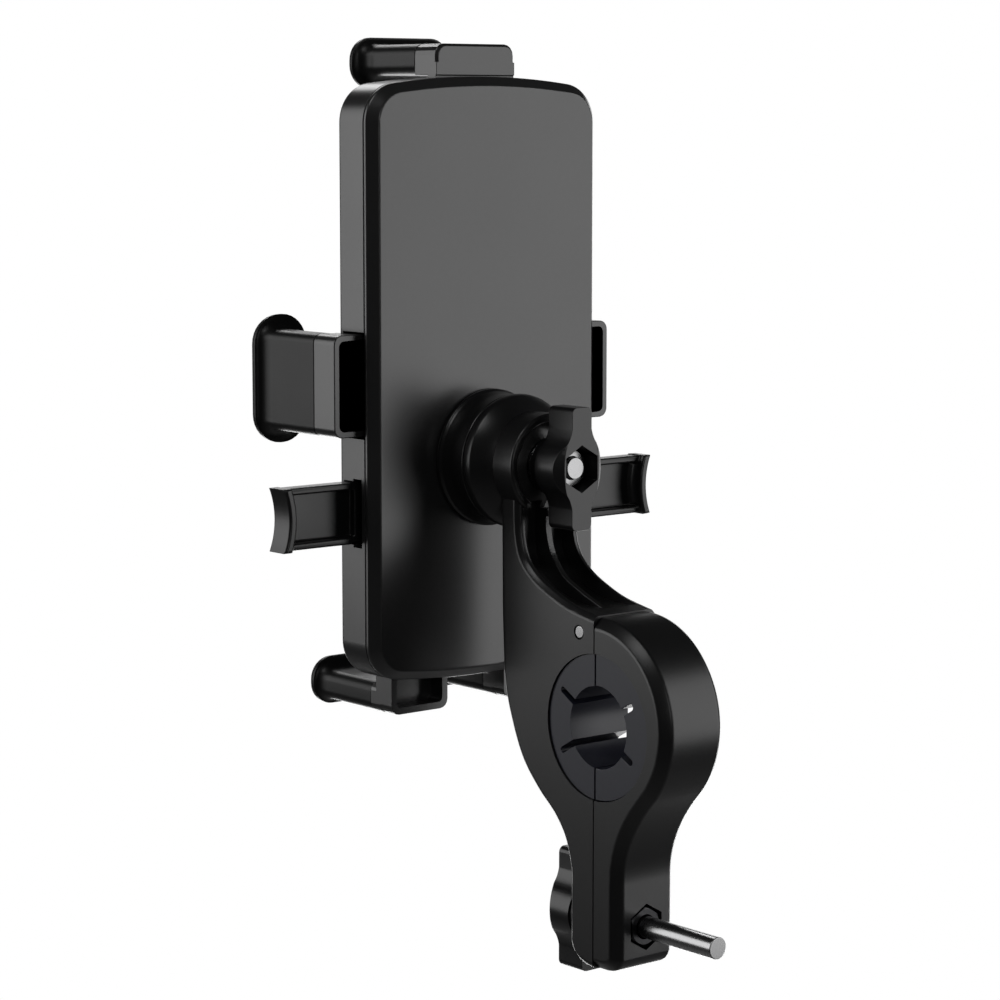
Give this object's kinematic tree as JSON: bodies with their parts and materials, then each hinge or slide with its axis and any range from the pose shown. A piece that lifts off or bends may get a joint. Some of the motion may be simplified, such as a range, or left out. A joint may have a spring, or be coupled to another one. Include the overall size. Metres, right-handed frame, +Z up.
{
  "type": "phone mount",
  "caption": "Bar-clamp phone mount: hinged clamp with rubber inserts, curved arm, lockable ball joint with wing knobs, and a spring-jaw phone holder with release levers.",
  "frame": {"origin": "centre of the handlebar bore, in the middle of the clamp's width", "axes": "+X along the handlebar, to the left of a rider who faces the phone from behind the mount; +Z up; the phone faces -Y"},
  "size_m": [0.1108, 0.113, 0.2127],
  "materials": {
    "shell": "dark grey, fine satin grain",
    "gloss_black": "black, semi-gloss moulded",
    "satin_black": "black, satin moulded nylon",
    "rubber": "black, smooth soft rubber",
    "insert_rubber": "bluish dark grey rubber",
    "nylon": "natural white nylon",
    "bright_steel": "zinc-plated, polished",
    "black_steel": "blackened steel"
  },
  "bodies": {
    "arm": {"arm_and_front_clamp": "satin_black", "hinge_pin": "bright_steel", "front_insert": "insert_rubber"},
    "ball_cap": {"ball_cap": "black_steel", "ball_bolt": "bright_steel"},
    "friction_liner": {"friction_liner": "nylon"},
    "holder": {"swivel_base": "gloss_black", "socket_dome": "gloss_black", "rear_cover": "shell", "front_shell": "shell", "phone_pad": "rubber", "pinion_axle": "bright_steel", "shell_screw_1": "black_steel", "shell_screw_2": "black_steel", "shell_screw_3": "black_steel", "shell_screw_4": "black_steel", "base_screw_1": "black_steel", "base_screw_2": "black_steel", "base_screw_3": "black_steel", "left_jaw_spring": "bright_steel", "right_jaw_spring": "bright_steel"},
    "left_jaw": {"left_jaw": "shell", "left_sleeve": "rubber", "left_rack": "shell"},
    "right_jaw": {"right_jaw": "shell", "right_sleeve": "rubber", "right_rack": "shell"},
    "side_pinion": {"side_pinion": "nylon"},
    "top_jaw": {"top_jaw": "shell", "top_sleeve": "rubber"},
    "bottom_jaw": {"bottom_jaw": "shell", "bottom_sleeve_left": "rubber", "bottom_sleeve_right": "rubber"},
    "height_pinion": {"height_pinion": "nylon"},
    "left_lever": {"left_lever": "satin_black", "left_lever_spring": "bright_steel"},
    "right_lever": {"right_lever": "satin_black", "right_lever_spring": "bright_steel"},
    "left_pawl": {"left_pawl": "nylon"},
    "right_pawl": {"right_pawl": "nylon"},
    "thrust_washer": {"thrust_washer": "bright_steel"},
    "upper_knob": {"upper_knob": "gloss_black", "upper_knob_nut": "bright_steel"},
    "lower_knob": {"lower_knob": "gloss_black", "clamp_bolt": "bright_steel"},
    "clamp_nut": {"clamp_nut": "black_steel"},
    "rear_clamp": {"rear_clamp": "satin_black", "rear_insert": "insert_rubber"}
  },
  "joints": [
    {"name": "ball_swivel", "type": "hinge", "parent": "arm", "child": "ball_cap", "pos_m": [0, -0.047, 0.0558], "axis": [0, 1, 0], "continuous": true},
    {"name": "ball_tilt_up_down", "type": "hinge", "parent": "ball_cap", "child": "friction_liner", "pos_m": [0, -0.047, 0.0558], "axis": [1, 0, 0], "range_deg": [-10, 10]},
    {"name": "ball_tilt_sideways", "type": "hinge", "parent": "friction_liner", "child": "holder", "pos_m": [0, -0.047, 0.0558], "axis": [0, 0, 1], "range_deg": [-10, 10]},
    {"name": "side_jaws_slide", "type": "slide", "parent": "holder", "child": "left_jaw", "axis": [1, 0, 0], "range_m": [0, 0.014]},
    {"name": "right_jaw_slide", "type": "slide", "parent": "holder", "child": "right_jaw", "axis": [-1, 0, 0], "range_m": [0, 0.014]},
    {"name": "side_pinion_turn", "type": "hinge", "parent": "holder", "child": "side_pinion", "pos_m": [0, -0.0555, 0.074], "axis": [0, 1, 0], "range_deg": [0, 200.54]},
    {"name": "height_jaws_slide", "type": "slide", "parent": "holder", "child": "top_jaw", "axis": [0, 0, 1], "range_m": [0, 0.016]},
    {"name": "bottom_jaw_slide", "type": "slide", "parent": "holder", "child": "bottom_jaw", "axis": [0, 0, -1], "range_m": [0, 0.016]},
    {"name": "height_pinion_turn", "type": "hinge", "parent": "holder", "child": "height_pinion", "pos_m": [0, -0.0515, 0.074], "axis": [0, 1, 0], "range_deg": [-229.18, 0]},
    {"name": "left_lever_press", "type": "slide", "parent": "holder", "child": "left_lever", "axis": [-1, 0, 0], "range_m": [0, 0.004], "stiffness_N_per_m": 700, "springref_m": -0.002},
    {"name": "right_lever_press", "type": "slide", "parent": "holder", "child": "right_lever", "axis": [1, 0, 0], "range_m": [0, 0.004], "stiffness_N_per_m": 700, "springref_m": -0.002},
    {"name": "left_pawl_release", "type": "slide", "parent": "holder", "child": "left_pawl", "axis": [0, 0, -1], "range_m": [0, 0.0012]},
    {"name": "right_pawl_release", "type": "slide", "parent": "holder", "child": "right_pawl", "axis": [0, 0, -1], "range_m": [0, 0.0012]},
    {"name": "upper_washer_travel", "type": "slide", "parent": "arm", "child": "thrust_washer", "axis": [0, 1, 0], "range_m": [0, 0.0016]},
    {"name": "upper_knob_turn", "type": "hinge", "parent": "thrust_washer", "child": "upper_knob", "pos_m": [0, -0.02, 0.0558], "axis": [0, 1, 0], "range_deg": [0, 720]},
    {"name": "lower_knob_turn", "type": "hinge", "parent": "arm", "child": "lower_knob", "pos_m": [0, -0.015, -0.0455], "axis": [0, -1, 0], "range_deg": [0, 1080]},
    {"name": "clamp_nut_travel", "type": "slide", "parent": "arm", "child": "clamp_nut", "axis": [0, 1, 0], "range_m": [0, 0.0024]},
    {"name": "clamp_open", "type": "hinge", "parent": "arm", "child": "rear_clamp", "pos_m": [0, -0.006, 0.0208], "axis": [1, 0, 0], "range_deg": [0, 2.07]}
  ],
  "couplings": [
    {"joint": "right_jaw_slide", "follows": "side_jaws_slide", "ratio": 1},
    {"joint": "side_pinion_turn", "follows": "side_jaws_slide", "rad_per_m": 250},
    {"joint": "bottom_jaw_slide", "follows": "height_jaws_slide", "ratio": 1},
    {"joint": "height_pinion_turn", "follows": "height_jaws_slide", "rad_per_m": -250},
    {"joint": "left_pawl_release", "follows": "left_lever_press", "ratio": 0.3},
    {"joint": "right_pawl_release", "follows": "right_lever_press", "ratio": 0.3},
    {"joint": "upper_knob_turn", "follows": "upper_washer_travel", "rad_per_m": 7854},
    {"joint": "clamp_nut_travel", "follows": "clamp_open", "m_per_rad": 0.066285},
    {"joint": "lower_knob_turn", "follows": "clamp_open", "ratio": 520.6}
  ]
}
